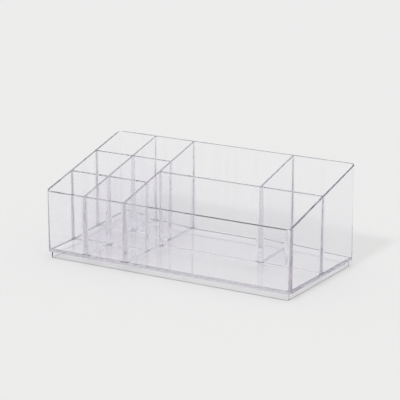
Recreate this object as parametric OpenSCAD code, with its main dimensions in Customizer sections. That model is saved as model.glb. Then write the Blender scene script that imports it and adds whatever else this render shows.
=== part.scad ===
// Clear countertop organizer: a tray with a rim that slopes up from front to back,
// six small bins in its left third, a full-length tray across the front right
// and two deep bins behind it. Every panel is a separate solid, bonded edge to edge.
// Origin: middle of the footprint, on the surface the organizer stands on. Front faces -Y.

/* [Overall] */
// Width over the side walls
overall_w = 305; // [270:1:400]
// Depth over the front and back walls
overall_d = 149; // [135:1:220]
// Height of the front rim above the lower edge of the walls
front_h = 68.5; // [40:0.5:100]
// Height of the back rim above the lower edge of the walls
back_h = 107; // [70:0.5:140]
// Outer radius of the upright corners
corner_r = 7; // [5:0.5:12]

/* [Walls] */
// Wall thickness at the back rim
wall_rim_t = 2; // [1.5:0.1:3]
// Slope of the inner wall faces, in degrees, so that a wall is thicker at its foot
wall_draft = 1.2; // [0:0.1:2]
// Thickness of the lip of wall that stays outside the floor's edge
floor_lip_t = 1.4; // [0.8:0.1:1.9]

/* [Floor] */
// Thickness of the floor
floor_t = 2.6; // [1.5:0.1:5]

/* [Dividers] */
// Divider thickness at the height of the back rim
divider_rim_t = 1.8; // [1.2:0.1:3]
// Slope of each divider face, in degrees
divider_draft = 1.2; // [0:0.1:2]
// Left outer face to the middle of the divider between the two small columns
column_x = 50.8; // [35:0.1:65]
// Left outer face to the middle of the divider that closes the small columns
section_x = 101.6; // [80:0.1:125]
// Right outer face to the middle of the divider between the two deep bins
bin_x = 76.3; // [40:0.1:100]
// Front outer face to the middle of the divider behind the long tray
tray_y = 74.5; // [45:0.1:95]
// Front outer face to the middle of the divider behind the first row of small bins
front_row_y = 49.2; // [30:0.1:65]
// First row divider to second row divider
row_pitch = 49.4; // [30:0.1:65]
// Play on each side of a half-lap slot, where two dividers cross
lap_clearance = 0.1; // [0.05:0.01:0.3]

/* [Plinth] */
// Height of the plinth under the walls
plinth_h = 7.5; // [5:0.5:15]
// Step in from the walls to the plinth
plinth_inset = 3.3; // [2:0.1:4.5]
// Thickness of the plinth rails at the floor
plinth_t = 2.2; // [1.5:0.1:3]
// Width of the flat foot of the plinth rails
plinth_foot_t = 1.8; // [1:0.1:3]

/* [Hidden] */
$fn = 96;
// Run-out of every cutting solid past the faces it cuts
cut_over = 5;
// Share of a divider's height at which two crossing dividers lap
lap_share = 0.5;
// Angle that each rounded corner gives to each of the two panels that meet in it
corner_share_angle = 45;

wall_z = plinth_h;
floor_z = wall_z + floor_t;
top_z = wall_z + back_h;
left_x = -overall_w / 2;
right_x = overall_w / 2;
front_y = -overall_d / 2;
back_y = overall_d / 2;
wall_foot_t = wall_rim_t + (top_z - floor_z) * tan(wall_draft);
divider_foot_t = divider_rim_t + 2 * (top_z - floor_z) * tan(divider_draft);
column_divider_x = left_x + column_x;
section_divider_x = left_x + section_x;
bin_divider_x = right_x - bin_x;
tray_divider_y = front_y + tray_y;
row_divider_ys = [front_y + front_row_y, front_y + front_row_y + row_pitch];
plinth_r = corner_r - plinth_inset;
plinth_w = overall_w - 2 * plinth_inset;
plinth_d = overall_d - 2 * plinth_inset;

// Height of the sloping rim plane at a given depth
function rim_z(y) = wall_z + front_h + (back_h - front_h) * (y - front_y) / overall_d;

// Thickness of a divider at a given height
function divider_t_at(z) = divider_rim_t + 2 * (top_z - z) * tan(divider_draft);

// Height at which the panels crossing at a given depth lap each other
function lap_z(y) = floor_z + lap_share * (rim_z(y) - floor_z);

// Section of a wall: inward distance from its outer face against height.
// The step at the foot is the seat for the floor's edge.
wall_section = [
    [0, wall_z],
    [floor_lip_t, wall_z],
    [floor_lip_t, floor_z],
    [wall_foot_t, floor_z],
    [wall_rim_t, top_z],
    [0, top_z]
];

// Section of a plinth rail, drawn in at the foot on its inner side
plinth_section = [
    [0, 0],
    [plinth_foot_t, 0],
    [plinth_t, wall_z],
    [0, wall_z]
];

// Lays a profile drawn as [depth, height] along X
module along_x(length) {
    rotate([90, 0, 90])
        linear_extrude(height = length, center = true)
            children();
}

// Lays a profile drawn as [across, height] along Y
module along_y(length) {
    rotate([90, 0, 0])
        linear_extrude(height = length, center = true)
            children();
}

// One side of a rounded frame, with its outer face on y = 0 and facing -Y.
// The section runs straight between the corner centres, then turns half of each corner,
// so neighbouring sides meet on the diagonal.
module frame_side(span, r, section) {
    straight = span - 2 * r;
    along_x(straight)
        polygon(section);
    for (side = [0, 1])
        mirror([side, 0, 0])
            translate([straight / 2, r, 0])
                rotate([0, 0, -90])
                    rotate_extrude(angle = corner_share_angle)
                        polygon([for (p = section) [r - p[0], p[1]]]);
}

// Everything below the sloping rim
module under_rim() {
    far_front = front_y - cut_over;
    far_back = back_y + cut_over;
    along_x(overall_w + 2 * cut_over)
        polygon([
            [far_front, -cut_over],
            [far_back, -cut_over],
            [far_back, rim_z(far_back)],
            [far_front, rim_z(far_front)]
        ]);
}

// Section across a divider, centred on zero, from the floor to the highest rim
module divider_section() {
    foot = divider_foot_t / 2;
    rim = divider_rim_t / 2;
    polygon([[-foot, floor_z], [foot, floor_z], [rim, top_z], [-rim, top_z]]);
}

// Outline between two sloping faces. Each face is given by its place at the floor
// and at the height of the back rim.
module bay_outline(foot_a, rim_a, foot_b, rim_b) {
    polygon([[foot_a, floor_z], [foot_b, floor_z], [rim_b, top_z], [rim_a, top_z]]);
}

// A divider that runs front to back between two faces
module depth_divider(x, foot_a, rim_a, foot_b, rim_b) {
    intersection() {
        translate([x, 0, 0])
            along_y(overall_d)
                divider_section();
        along_x(overall_w)
            bay_outline(foot_a, rim_a, foot_b, rim_b);
        under_rim();
    }
}

// A divider that runs left to right between two faces
module width_divider(y, foot_a, rim_a, foot_b, rim_b) {
    intersection() {
        translate([0, y, 0])
            along_x(overall_w)
                divider_section();
        along_y(overall_d)
            bay_outline(foot_a, rim_a, foot_b, rim_b);
        under_rim();
    }
}

// A full-depth divider, from the front wall to the back wall
module full_depth_divider(x) {
    depth_divider(
        x,
        front_y + wall_foot_t, front_y + wall_rim_t,
        back_y - wall_foot_t, back_y - wall_rim_t
    );
}

module front_wall() {
    color([0.90, 0.90, 0.94, 0.35])
        intersection() {
            translate([0, front_y, 0])
                frame_side(overall_w, corner_r, wall_section);
            under_rim();
        }
}

module back_wall() {
    color([0.88, 0.88, 0.93, 0.35])
        intersection() {
            rotate([0, 0, 180])
                translate([0, front_y, 0])
                    frame_side(overall_w, corner_r, wall_section);
            under_rim();
        }
}

// side is -1 for the left wall and 1 for the right wall
module side_wall(side) {
    intersection() {
        rotate([0, 0, side * 90])
            translate([0, left_x, 0])
                frame_side(overall_d, corner_r, wall_section);
        under_rim();
    }
}

module left_wall() {
    color([0.86, 0.86, 0.92, 0.35])
        side_wall(-1);
}

module right_wall() {
    color([0.86, 0.86, 0.92, 0.35])
        side_wall(1);
}

// The floor fills the seat in the foot of the four walls
module floor_panel() {
    r = corner_r - floor_lip_t;
    w = overall_w - 2 * floor_lip_t;
    d = overall_d - 2 * floor_lip_t;
    color([0.90, 0.90, 0.95, 0.35])
        translate([0, 0, wall_z])
            linear_extrude(height = floor_t)
                union() {
                    square([w, d - 2 * r], center = true);
                    square([w - 2 * r, d], center = true);
                    for (sx = [-1, 1], sy = [-1, 1])
                        translate([sx * (w / 2 - r), sy * (d / 2 - r)])
                            circle(r = r);
                }
}

module section_divider() {
    color([0.84, 0.84, 0.92, 0.35])
        full_depth_divider(section_divider_x);
}

// Slotted from above where the two row dividers cross it
module column_divider() {
    color([0.84, 0.84, 0.92, 0.35])
        difference() {
            full_depth_divider(column_divider_x);
            for (y = row_divider_ys) {
                slot_w = divider_t_at(lap_z(y)) + 2 * lap_clearance;
                translate([column_divider_x, y, 0])
                    along_x(divider_foot_t + 2 * cut_over)
                        polygon([
                            [-slot_w / 2, lap_z(y)],
                            [slot_w / 2, lap_z(y)],
                            [slot_w / 2, top_z + cut_over],
                            [-slot_w / 2, top_z + cut_over]
                        ]);
            }
        }
}

// Slotted from below where it drops over the column divider
module row_divider(y) {
    slot_w = divider_foot_t + 2 * lap_clearance;
    slot_top = lap_z(y) + lap_clearance;
    difference() {
        width_divider(
            y,
            left_x + wall_foot_t, left_x + wall_rim_t,
            section_divider_x - divider_foot_t / 2, section_divider_x - divider_rim_t / 2
        );
        translate([column_divider_x, y, 0])
            along_y(divider_foot_t + 2 * cut_over)
                polygon([
                    [-slot_w / 2, floor_z - cut_over],
                    [slot_w / 2, floor_z - cut_over],
                    [slot_w / 2, slot_top],
                    [-slot_w / 2, slot_top]
                ]);
    }
}

module front_row_divider() {
    color([0.82, 0.84, 0.92, 0.35])
        row_divider(row_divider_ys[0]);
}

module rear_row_divider() {
    color([0.82, 0.84, 0.92, 0.35])
        row_divider(row_divider_ys[1]);
}

// Behind the long tray, from the section divider to the right wall
module tray_divider() {
    color([0.82, 0.84, 0.92, 0.35])
        width_divider(
            tray_divider_y,
            section_divider_x + divider_foot_t / 2, section_divider_x + divider_rim_t / 2,
            right_x - wall_foot_t, right_x - wall_rim_t
        );
}

// Between the two deep bins, from the tray divider to the back wall
module bin_divider() {
    color([0.84, 0.84, 0.92, 0.35])
        depth_divider(
            bin_divider_x,
            tray_divider_y + divider_foot_t / 2, tray_divider_y + divider_rim_t / 2,
            back_y - wall_foot_t, back_y - wall_rim_t
        );
}

// A plinth rail with its outer face turned by the given angle from the front
module plinth_rail(span, reach, turn) {
    color([0.93, 0.93, 0.96, 0.35])
        rotate([0, 0, turn])
            translate([0, -reach / 2, 0])
                frame_side(span, plinth_r, plinth_section);
}

module plinth_front_rail() {
    plinth_rail(plinth_w, plinth_d, 0);
}

module plinth_back_rail() {
    plinth_rail(plinth_w, plinth_d, 180);
}

module plinth_left_rail() {
    plinth_rail(plinth_d, plinth_w, -90);
}

module plinth_right_rail() {
    plinth_rail(plinth_d, plinth_w, 90);
}

front_wall();
back_wall();
left_wall();
right_wall();
floor_panel();
section_divider();
column_divider();
front_row_divider();
rear_row_divider();
tray_divider();
bin_divider();
plinth_front_rail();
plinth_back_rail();
plinth_left_rail();
plinth_right_rail();
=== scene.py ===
import math

import bmesh
import bpy
from mathutils import Matrix, Vector


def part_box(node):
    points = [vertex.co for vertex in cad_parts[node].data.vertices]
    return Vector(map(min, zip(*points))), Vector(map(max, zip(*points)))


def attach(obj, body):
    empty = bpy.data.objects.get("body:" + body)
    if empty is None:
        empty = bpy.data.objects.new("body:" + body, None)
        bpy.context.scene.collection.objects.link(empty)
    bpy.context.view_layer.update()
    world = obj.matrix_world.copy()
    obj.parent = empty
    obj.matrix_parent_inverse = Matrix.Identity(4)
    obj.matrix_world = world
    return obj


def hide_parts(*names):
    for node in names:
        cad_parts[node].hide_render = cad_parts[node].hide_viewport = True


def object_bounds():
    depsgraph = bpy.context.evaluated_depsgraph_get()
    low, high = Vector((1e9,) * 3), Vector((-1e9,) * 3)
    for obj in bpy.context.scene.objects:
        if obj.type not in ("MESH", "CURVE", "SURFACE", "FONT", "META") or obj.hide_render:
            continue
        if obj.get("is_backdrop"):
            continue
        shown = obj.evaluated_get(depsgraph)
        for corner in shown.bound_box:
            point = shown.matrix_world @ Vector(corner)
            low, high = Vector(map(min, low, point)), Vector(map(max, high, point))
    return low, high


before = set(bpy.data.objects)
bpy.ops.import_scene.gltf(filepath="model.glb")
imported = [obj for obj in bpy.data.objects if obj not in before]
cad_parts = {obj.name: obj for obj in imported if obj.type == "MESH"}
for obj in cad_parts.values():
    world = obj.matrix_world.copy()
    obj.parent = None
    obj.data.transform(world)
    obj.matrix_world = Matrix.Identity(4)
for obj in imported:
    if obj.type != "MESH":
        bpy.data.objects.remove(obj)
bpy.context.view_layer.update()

MM = 0.001

# Vertices nearer than this become one
MERGE_DISTANCE = 0.001 * MM
# How near a vertex of the frame's mesh lies to the outer face that it belongs to
FACE_TOLERANCE = 0.1 * MM
# Faces that meet at more than this angle keep a sharp edge between them
SHARP_ANGLE = math.radians(35)
# So do faces of which one is this many times larger, such as a panel beside the strip of a fillet
FLAT_FACE_RATIO = 6.0
# A height on the sloping rim and a place along it depend on each other, and settle in this many passes
SETTLE_PASSES = 3

# Sizes of the frame, in metres
LOW, HIGH = (Vector(corner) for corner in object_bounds())
WALL_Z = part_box("floor_panel")[0][2]
FLOOR_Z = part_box("floor_panel")[1][2]
FLOOR_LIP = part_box("floor_panel")[0][0] - LOW.x
TOP_Z = HIGH.z
FRONT_Y = LOW.y
BACK_Y = HIGH.y
PLINTH_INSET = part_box("plinth_left_rail")[0][0] - LOW.x

# Sizes that the frame's boxes don't give
CORNER_R = 7 * MM
WALL_RIM_T = 2 * MM
WALL_DRAFT = math.radians(1.2)
DIVIDER_RIM_T = 1.8 * MM
DIVIDER_DRAFT = math.radians(1.2)
PLINTH_T = 2.2 * MM
PLINTH_FOOT_T = 1.8 * MM
LAP_SHARE = 0.5

# Small forms of the moulded edges
FILLET_R = 1.0 * MM
END_FILLET_R = 1.8 * MM
RIM_ROUND_R = 0.2 * MM
PLINTH_ROUND_R = 0.05 * MM
# Inner radius of the upright corners at the back rim and at the floor
INNER_RIM_R = 3.0 * MM
INNER_FOOT_R = 0.6 * MM
# Panels reach this far into what they are bonded to, so that no film of air shows between them
BOND = 0.03 * MM
FILLET_STEPS = (0.0, 0.03, 0.08, 0.16, 0.27, 0.42, 0.62, 1.0)
ROUND_STEPS = (1.0, 0.62, 0.29, 0.08, 0.0)
ARC_STEPS = 12


def outer_rim_z(node, y):
    """Height of the rim at the outer face of a wall, from the frame's own mesh."""
    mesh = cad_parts[node].data
    return max(v.co.z for v in mesh.vertices if abs(v.co.y - y) < FACE_TOLERANCE)


RIM_FRONT_Z = outer_rim_z("front_wall", FRONT_Y)
RIM_SLOPE = (TOP_Z - RIM_FRONT_Z) / (BACK_Y - FRONT_Y)


def rim_z(y):
    return RIM_FRONT_Z + RIM_SLOPE * (y - FRONT_Y)


def wall_t(z):
    return WALL_RIM_T + (TOP_Z - max(z, FLOOR_Z)) * math.tan(WALL_DRAFT)


def inner_corner_r(z):
    """Inner radius of the upright corners, which the draft narrows towards the floor."""
    share = (max(z, FLOOR_Z) - FLOOR_Z) / (TOP_Z - FLOOR_Z)
    return INNER_FOOT_R + (INNER_RIM_R - INNER_FOOT_R) * share


def divider_half(z):
    return DIVIDER_RIM_T / 2 + (TOP_Z - max(z, FLOOR_Z)) * math.tan(DIVIDER_DRAFT)


def fillet(distance, radius=FILLET_R):
    """How far a concave fillet stands out at a distance from the corner that it fills."""
    if distance >= radius:
        return 0.0
    return radius - math.sqrt(radius ** 2 - (radius - distance) ** 2)


def rounding(drop, radius=RIM_ROUND_R):
    """How far a rounded edge draws in at a drop below its top."""
    if drop >= radius:
        return 0.0
    return radius - math.sqrt(radius ** 2 - (radius - drop) ** 2)


def sharpen_flat_faces(mesh):
    """Marks the edges where a large flat face meets the narrow strips of a fillet or a rounding,
    so that the flat face stays optically flat and the strips stay smooth."""
    areas = {}
    for polygon in mesh.polygons:
        for key in polygon.edge_keys:
            areas.setdefault(key, []).append(polygon.area)
    for edge in mesh.edges:
        pair = areas[edge.key]
        if len(pair) == 2 and max(pair) > FLAT_FACE_RATIO * min(pair):
            edge.use_edge_sharp = True


def finish_mesh(name, bm):
    bmesh.ops.recalc_face_normals(bm, faces=bm.faces)
    mesh = bpy.data.meshes.new(name)
    bm.to_mesh(mesh)
    bm.free()
    mesh.polygons.foreach_set("use_smooth", [True] * len(mesh.polygons))
    mesh.set_sharp_from_angle(angle=SHARP_ANGLE)
    sharpen_flat_faces(mesh)
    piece = bpy.data.objects.new(name, mesh)
    bpy.context.collection.objects.link(piece)
    return piece


def panel_mesh(name, stations, levels, place, present=None):
    """A closed shell between two sides of a panel.

    Cells lie between neighbouring stations along the panel and neighbouring levels up it.
    place(station, level, side) gives each corner, and present(i, k) says whether the cell
    after station i and level k holds material.
    """
    bm = bmesh.new()
    verts = {}

    def vert(i, k, side):
        if (i, k, side) not in verts:
            verts[i, k, side] = bm.verts.new(place(stations[i], levels[k], side))
        return verts[i, k, side]

    def face(*corners):
        bm.faces.new([vert(*corner) for corner in corners])

    def cell(i, k):
        inside = 0 <= i < len(stations) - 1 and 0 <= k < len(levels) - 1
        return inside and (present is None or present(i, k))

    for i in range(len(stations) - 1):
        for k in range(len(levels) - 1):
            if not cell(i, k):
                continue
            for side in (0, 1):
                face((i, k, side), (i + 1, k, side), (i + 1, k + 1, side), (i, k + 1, side))
            if not cell(i, k - 1):
                face((i, k, 0), (i + 1, k, 0), (i + 1, k, 1), (i, k, 1))
            if not cell(i, k + 1):
                face((i, k + 1, 0), (i + 1, k + 1, 0), (i + 1, k + 1, 1), (i, k + 1, 1))
            if not cell(i - 1, k):
                face((i, k, 0), (i, k + 1, 0), (i, k + 1, 1), (i, k, 1))
            if not cell(i + 1, k):
                face((i + 1, k, 0), (i + 1, k + 1, 0), (i + 1, k + 1, 1), (i + 1, k, 1))
    # The outer face of a wall has one height twice at the floor's edge, which would leave faces of no area
    bmesh.ops.remove_doubles(bm, verts=bm.verts, dist=MERGE_DISTANCE)
    return finish_mesh(name, bm)


def foot_levels():
    """Heights above the floor, as ("foot", height), down into the floor by the bond."""
    return [("foot", -BOND)] + [("foot", step * FILLET_R) for step in FILLET_STEPS[1:]]


def rim_levels():
    """Drops below the sloping rim, as ("rim", drop)."""
    return [("rim", step * RIM_ROUND_R) for step in ROUND_STEPS]


def level_z(level, y):
    kind, value = level
    if kind == "rim":
        return rim_z(y) - value
    if kind == "foot":
        return FLOOR_Z + value
    return value


class Divider:
    """A divider that runs along X or Y, with a drafted section, fillets at its foot and ends,
    and half-lap notches where it crosses others."""

    def __init__(self, node, run, centre, start, stop, crossings=()):
        self.node = node
        self.run = run
        self.centre = centre
        self.start = start
        self.stop = stop
        self.crossings = crossings

    def stations(self):
        """Each is (kind, index, distance from that face)."""
        steps = [share * END_FILLET_R for share in FILLET_STEPS[1:]]
        ends = [("start", 0, -BOND)] + [("start", 0, step) for step in steps]
        for index, _ in enumerate(self.crossings):
            ends += [("before", index, step) for step in reversed(steps)]
            ends += [("before", index, -BOND), ("after", index, -BOND)]
            ends += [("after", index, step) for step in steps]
        ends += [("stop", 0, step) for step in reversed(steps)] + [("stop", 0, -BOND)]
        return ends

    def along(self, station, z):
        kind, index, distance = station
        if kind == "start":
            return self.start(z) + distance
        if kind == "stop":
            return self.stop(z) - distance
        at = self.crossings[index]["at"]
        reach = divider_half(z) + distance
        return at - reach if kind == "before" else at + reach

    def notched(self, index, z):
        crossing = self.crossings[index]
        return z < crossing["lap"] if crossing["notch"] == "below" else z > crossing["lap"]

    def levels(self):
        laps = sorted({crossing["lap"] for crossing in self.crossings})
        middle = []
        for lap in laps:
            middle += [("at", lap - BOND), ("at", lap + BOND)]
        return foot_levels() + middle + rim_levels()

    def place(self, station, level, side):
        kind, index, distance = station
        y = self.centre
        z = level_z(level, y)
        for _ in range(SETTLE_PASSES):
            s = self.along(station, z)
            if self.run == "y":
                y = s
            z = level_z(level, y)
        half = divider_half(z)
        if level[0] == "foot":
            half += fillet(max(level[1], 0.0))
        if kind in ("start", "stop") or self.notched(index, z):
            half += fillet(max(distance, 0.0), END_FILLET_R)
        if level[0] == "rim":
            half -= rounding(level[1])
        across = self.centre + (half if side else -half)
        if self.run == "y":
            return Vector((across, s, z))
        if level[0] == "rim":
            z = level_z(level, across)
        return Vector((s, across, z))

    def present(self, stations, levels, i, k):
        first, second = stations[i], stations[i + 1]
        if not (first[0] == "before" and second[0] == "after" and first[1] == second[1]):
            return True
        y = self.crossings[first[1]]["at"] if self.run == "y" else self.centre
        z = (level_z(levels[k], y) + level_z(levels[k + 1], y)) / 2
        return not self.notched(first[1], z)

    def build(self, name):
        stations, levels = self.stations(), self.levels()
        return panel_mesh(name, stations, levels, self.place,
                          lambda i, k: self.present(stations, levels, i, k))


class FrameSide:
    """One side of a rounded frame, from the middle of one rounded corner to the middle of the next."""

    def __init__(self, span, reach, radius, turn):
        self.span = span
        self.reach = reach
        self.radius = radius
        self.turn = Matrix.Rotation(math.radians(turn), 3, "Z")

    def stations(self):
        """Each is (x of the arc's centre or None, angle from the outward normal)."""
        straight = self.span / 2 - self.radius
        over = BOND / self.radius
        quarter = math.pi / 4
        arcs = [quarter * i / ARC_STEPS for i in range(ARC_STEPS)] + [quarter + over]
        return [(-straight, -angle) for angle in reversed(arcs)] + [(straight, angle) for angle in arcs]

    def place(self, station, inward, bend=None):
        """A point at a distance inside the outer face. A bend smaller than the concentric
        radius takes the corner of the outline further out."""
        x, angle = station
        radius = self.radius - inward
        shift = 0.0
        if bend is not None and bend < radius:
            shift = radius - bend
            radius = bend
        centre_x = x + math.copysign(shift, x)
        centre_y = -self.reach / 2 + self.radius - shift
        here = Vector((centre_x + radius * math.sin(angle), centre_y - radius * math.cos(angle), 0))
        return self.turn @ here


def wall_piece(name, turn, span, reach):
    side = FrameSide(span, reach, CORNER_R, turn)
    # The floor's edge sits in a step between the first two levels
    levels = [("at", WALL_Z), ("at", FLOOR_Z - BOND)] + foot_levels() + rim_levels()
    step_top = 1

    def place(station, level_and_index, face):
        level, index = level_and_index
        here = side.place(station, 0.0)
        z = level_z(level, here.y)
        for _ in range(SETTLE_PASSES):
            bend = None
            if face == 0:
                inward = rounding(level[1]) if level[0] == "rim" else 0.0
            elif index <= step_top:
                inward = FLOOR_LIP + BOND
            else:
                inward = wall_t(z)
                bend = inner_corner_r(z)
                if level[0] == "foot":
                    inward += fillet(max(level[1], 0.0))
                if level[0] == "rim":
                    inward -= rounding(level[1])
            here = side.place(station, inward, bend)
            z = level_z(level, here.y)
        here.z = z
        return here

    indexed = [(level, index) for index, level in enumerate(levels)]
    return panel_mesh(name, side.stations(), indexed, place)


def plinth_piece(name, turn, span, reach):
    side = FrameSide(span, reach, CORNER_R - PLINTH_INSET, turn)
    levels = [step * PLINTH_ROUND_R for step in reversed(ROUND_STEPS)] + [WALL_Z + BOND]

    def place(station, z, face):
        thickness = PLINTH_FOOT_T + (PLINTH_T - PLINTH_FOOT_T) * z / WALL_Z
        drawn_in = rounding(z, PLINTH_ROUND_R)
        here = side.place(station, drawn_in if face == 0 else thickness - drawn_in)
        here.z = z
        return here

    return panel_mesh(name, side.stations(), levels, place)


def floor_piece(name):
    """The floor: a rounded plate whose edge sits in the foot of the walls."""
    bm = bmesh.new()
    radius = CORNER_R - FLOOR_LIP
    half_x = HIGH.x - CORNER_R
    half_y = BACK_Y - CORNER_R
    outline = []
    for quadrant in range(4):
        sx = 1 if quadrant in (0, 3) else -1
        sy = 1 if quadrant in (0, 1) else -1
        for i in range(2 * ARC_STEPS + 1):
            angle = math.pi / 2 * (quadrant + i / (2 * ARC_STEPS))
            outline.append((sx * half_x + radius * math.cos(angle), sy * half_y + radius * math.sin(angle)))
    rings = [[bm.verts.new((x, y, z)) for x, y in outline] for z in (WALL_Z, FLOOR_Z)]
    count = len(outline)
    for i in range(count):
        j = (i + 1) % count
        bm.faces.new([rings[0][i], rings[0][j], rings[1][j], rings[1][i]])
    bm.faces.new(rings[0])
    bm.faces.new(rings[1])
    return finish_mesh(name, bm)


# Clear plastic: its tint seen face on, and a darker tint at a grazing angle, which is partly the longer
# path through the body and partly painted shade standing in for darker surroundings; and what its body
# absorbs
FACING_TINT = (0.996, 0.9955, 1.0, 1)
GRAZING_TINT_AND_PAINTED_SHADE = (0.96, 0.957, 0.983, 1)
BASE_FACING = (0.998, 0.997, 1.0, 1)
BASE_GRAZING_TINT_AND_PAINTED_SHADE = (0.978, 0.974, 0.990, 1)
TINT = (0.14, 0.06, 0.22, 1)
DENSITY = 3.0
PLASTIC_IOR = 1.49
ANGLE_BLEND = 0.5
# Moulding ripples, a soft noise
RIPPLE_STRENGTH = 0.02
RIPPLE_SCALE = 22.0
RIPPLE_DETAIL = 1.0
RIPPLE_DEPTH = 0.5 * MM
# Scuffs, a finer noise of which only the peaks are rough
SCUFF_SCALE = 160.0
SCUFF_DETAIL = 6.0
SCUFF_DISTORTION = 1.5
SCUFF_START = 0.62
SCUFF_FULL = 0.75
PANEL_SCUFFS = 0.05
BASE_SCUFFS = 0.12


def clear_plastic(name, scuffs, facing, grazing):
    """Clear polished plastic: a refracting surface with faint moulding ripples and fine scuffs,
    a base colour that darkens at a grazing angle, partly for the longer path through the body and partly
    as painted shade that stands in for darker surroundings, and a body that takes a little light from what
    passes through a long way."""
    material = bpy.data.materials.new(name)
    material.use_nodes = True
    nodes, links = material.node_tree.nodes, material.node_tree.links
    nodes.clear()
    output = nodes.new("ShaderNodeOutputMaterial")
    shader = nodes.new("ShaderNodeBsdfPrincipled")
    shader.inputs["Transmission Weight"].default_value = 1.0
    shader.inputs["IOR"].default_value = PLASTIC_IOR

    # The base colour darkens from the face-on tint to the grazing one: partly the longer path through the
    # body, partly painted shade for darker surroundings seen at a grazing angle
    angle = nodes.new("ShaderNodeLayerWeight")
    angle.inputs["Blend"].default_value = ANGLE_BLEND
    body = nodes.new("ShaderNodeMix")
    body.data_type = "RGBA"
    body.inputs["A"].default_value = facing
    body.inputs["B"].default_value = grazing
    links.new(angle.outputs["Facing"], body.inputs["Factor"])
    links.new(body.outputs["Result"], shader.inputs["Base Color"])

    coordinates = nodes.new("ShaderNodeTexCoord")
    wave = nodes.new("ShaderNodeTexNoise")
    wave.inputs["Scale"].default_value = RIPPLE_SCALE
    wave.inputs["Detail"].default_value = RIPPLE_DETAIL
    links.new(coordinates.outputs["Object"], wave.inputs["Vector"])
    bump = nodes.new("ShaderNodeBump")
    bump.inputs["Strength"].default_value = RIPPLE_STRENGTH
    bump.inputs["Distance"].default_value = RIPPLE_DEPTH
    links.new(wave.outputs["Fac"], bump.inputs["Height"])
    links.new(bump.outputs["Normal"], shader.inputs["Normal"])

    scratch = nodes.new("ShaderNodeTexNoise")
    scratch.inputs["Scale"].default_value = SCUFF_SCALE
    scratch.inputs["Detail"].default_value = SCUFF_DETAIL
    scratch.inputs["Distortion"].default_value = SCUFF_DISTORTION
    links.new(coordinates.outputs["Object"], scratch.inputs["Vector"])
    ramp = nodes.new("ShaderNodeMapRange")
    ramp.inputs["From Min"].default_value = SCUFF_START
    ramp.inputs["From Max"].default_value = SCUFF_FULL
    ramp.inputs["To Min"].default_value = 0.0
    ramp.inputs["To Max"].default_value = scuffs
    links.new(scratch.outputs["Fac"], ramp.inputs["Value"])
    links.new(ramp.outputs["Result"], shader.inputs["Roughness"])
    links.new(shader.outputs["BSDF"], output.inputs["Surface"])

    absorption = nodes.new("ShaderNodeVolumeAbsorption")
    absorption.inputs["Color"].default_value = TINT
    absorption.inputs["Density"].default_value = DENSITY
    links.new(absorption.outputs["Volume"], output.inputs["Volume"])
    return material


def add_piece(piece, node, material):
    piece.data.materials.append(material)
    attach(piece, "root")
    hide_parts(node)


def plain_material(name, colour, roughness):
    material = bpy.data.materials.new(name)
    material.use_nodes = True
    shader = material.node_tree.nodes["Principled BSDF"]
    shader.inputs["Base Color"].default_value = colour
    shader.inputs["Roughness"].default_value = roughness
    shader.inputs["Specular IOR Level"].default_value = 0.0
    return material


# Camera, at the photograph's viewing angle
CAMERA_AZIMUTH = math.radians(30.90)
CAMERA_ELEVATION = math.radians(15.35)
CAMERA_DISTANCE = 2.143
CAMERA_TARGET = Vector((-32.0, 54.9, 52.5)) * MM
# Width of the sensor, in the camera's millimetres
SENSOR = 36.0
# Focal length and width of the image, in pixels
FOCAL_PIXELS = 1905.9
IMAGE_PIXELS = 400
FOCAL_SHARE = FOCAL_PIXELS / IMAGE_PIXELS


def make_camera():
    forward = Vector((
        -math.sin(CAMERA_AZIMUTH) * math.cos(CAMERA_ELEVATION),
        math.cos(CAMERA_AZIMUTH) * math.cos(CAMERA_ELEVATION),
        -math.sin(CAMERA_ELEVATION),
    ))
    data = bpy.data.cameras.new("camera")
    data.sensor_width = SENSOR
    data.lens = SENSOR * FOCAL_SHARE
    camera = bpy.data.objects.new("camera", data)
    camera.location = CAMERA_TARGET - forward * CAMERA_DISTANCE
    camera.rotation_euler = forward.to_track_quat("-Z", "Y").to_euler()
    bpy.context.collection.objects.link(camera)
    bpy.context.scene.camera = camera


FLOOR_COLOUR = (0.80, 0.80, 0.795, 1)
FLOOR_ROUGHNESS = 1.0
FLOOR_REACH = 6.0


def make_stage():
    bm = bmesh.new()
    bmesh.ops.create_grid(bm, x_segments=1, y_segments=1, size=FLOOR_REACH)
    floor = finish_mesh("floor", bm)
    floor.data.materials.append(plain_material("floor_paper", FLOOR_COLOUR, FLOOR_ROUGHNESS))
    floor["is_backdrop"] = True


# Light: an even studio dome, and a soft key in front of the object
DOME_STRENGTH = 0.945
KEY_DIRECTION = Vector((0.0, 1.0, -1.0))
KEY_ANGLE = math.radians(8)
KEY_STRENGTH = 0.48


def make_dome():
    world = bpy.data.worlds.new("dome")
    bpy.context.scene.world = world
    world.use_nodes = True
    background = world.node_tree.nodes["Background"]
    background.inputs["Color"].default_value = (1, 1, 1, 1)
    background.inputs["Strength"].default_value = DOME_STRENGTH


def make_key():
    data = bpy.data.lights.new("key", "SUN")
    data.energy = KEY_STRENGTH
    data.angle = KEY_ANGLE
    key = bpy.data.objects.new("key", data)
    key.rotation_euler = KEY_DIRECTION.to_track_quat("-Z", "Y").to_euler()
    # The disc of the key stays out of reflections and refractions, where it would break the rims' lines
    key.visible_glossy = False
    key.visible_transmission = False
    bpy.context.collection.objects.link(key)


def inner_face(sign, outer):
    """The inner face of a wall as a function of height: sign is 1 where inward is positive."""
    return lambda z: outer + sign * wall_t(z)


def divider_face(sign, centre):
    return lambda z: centre + sign * divider_half(z)


def middle(node, axis):
    low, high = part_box(node)
    return (low[axis] + high[axis]) / 2


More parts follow.
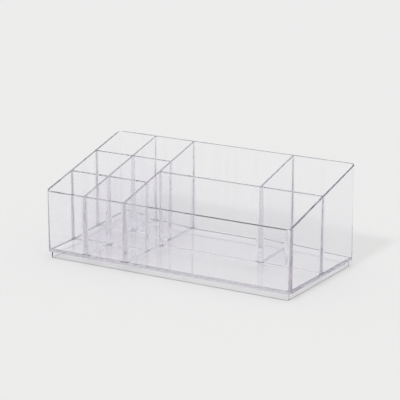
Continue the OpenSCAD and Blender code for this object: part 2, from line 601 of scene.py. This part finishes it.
def make_dividers(material):
    section_x = middle("section_divider", 0)
    column_x = middle("column_divider", 0)
    bin_x = middle("bin_divider", 0)
    tray_y = middle("tray_divider", 1)
    rows = {node: middle(node, 1) for node in ("front_row_divider", "rear_row_divider")}
    lap = {node: FLOOR_Z + LAP_SHARE * (rim_z(y) - FLOOR_Z) for node, y in rows.items()}
    front, back = inner_face(1, FRONT_Y), inner_face(-1, BACK_Y)
    left, right = inner_face(1, LOW.x), inner_face(-1, HIGH.x)
    dividers = [
        Divider("section_divider", "y", section_x, front, back),
        Divider("column_divider", "y", column_x, front, back,
                [{"at": rows[node], "lap": lap[node], "notch": "above"} for node in rows]),
        Divider("tray_divider", "x", tray_y, divider_face(1, section_x), right),
        Divider("bin_divider", "y", bin_x, divider_face(1, tray_y), back),
    ]
    for node, y in rows.items():
        dividers.append(Divider(node, "x", y, left, divider_face(-1, section_x),
                                [{"at": column_x, "lap": lap[node], "notch": "below"}]))
    for divider in dividers:
        add_piece(divider.build(divider.node + "_clear"), divider.node, material)


def frame_sides(width, depth):
    """Name, turn in degrees, span and reach of each side of a rounded frame."""
    return (
        ("front", 0, width, depth),
        ("right", 90, depth, width),
        ("back", 180, width, depth),
        ("left", -90, depth, width),
    )


def make_walls(material):
    width, depth = HIGH.x - LOW.x, BACK_Y - FRONT_Y
    for name, turn, span, reach in frame_sides(width, depth):
        add_piece(wall_piece(name + "_wall_clear", turn, span, reach), name + "_wall", material)


def make_base(material):
    add_piece(floor_piece("floor_panel_clear"), "floor_panel", material)
    width = HIGH.x - LOW.x - 2 * PLINTH_INSET
    depth = BACK_Y - FRONT_Y - 2 * PLINTH_INSET
    for name, turn, span, reach in frame_sides(width, depth):
        rail = plinth_piece("plinth_" + name + "_clear", turn, span, reach)
        add_piece(rail, "plinth_" + name + "_rail", material)


# Light crosses many faces of clear plastic before it leaves the object
PLASTIC_BOUNCES = 240
GLOSSY_BOUNCES = 120
DIFFUSE_BOUNCES = 4


def set_light_paths():
    cycles = bpy.context.scene.cycles
    cycles.max_bounces = PLASTIC_BOUNCES
    cycles.transmission_bounces = PLASTIC_BOUNCES
    cycles.glossy_bounces = GLOSSY_BOUNCES
    cycles.diffuse_bounces = DIFFUSE_BOUNCES
    cycles.blur_glossy = 0.0
    cycles.sample_clamp_indirect = 0.0


make_camera()
make_stage()
make_dome()
make_key()
make_walls(clear_plastic("wall_plastic", PANEL_SCUFFS, FACING_TINT, GRAZING_TINT_AND_PAINTED_SHADE))
make_dividers(clear_plastic("divider_plastic", PANEL_SCUFFS, FACING_TINT, GRAZING_TINT_AND_PAINTED_SHADE))
make_base(clear_plastic("base_plastic", BASE_SCUFFS, BASE_FACING, BASE_GRAZING_TINT_AND_PAINTED_SHADE))

set_light_paths()
bpy.context.scene.view_settings.view_transform = "Standard"
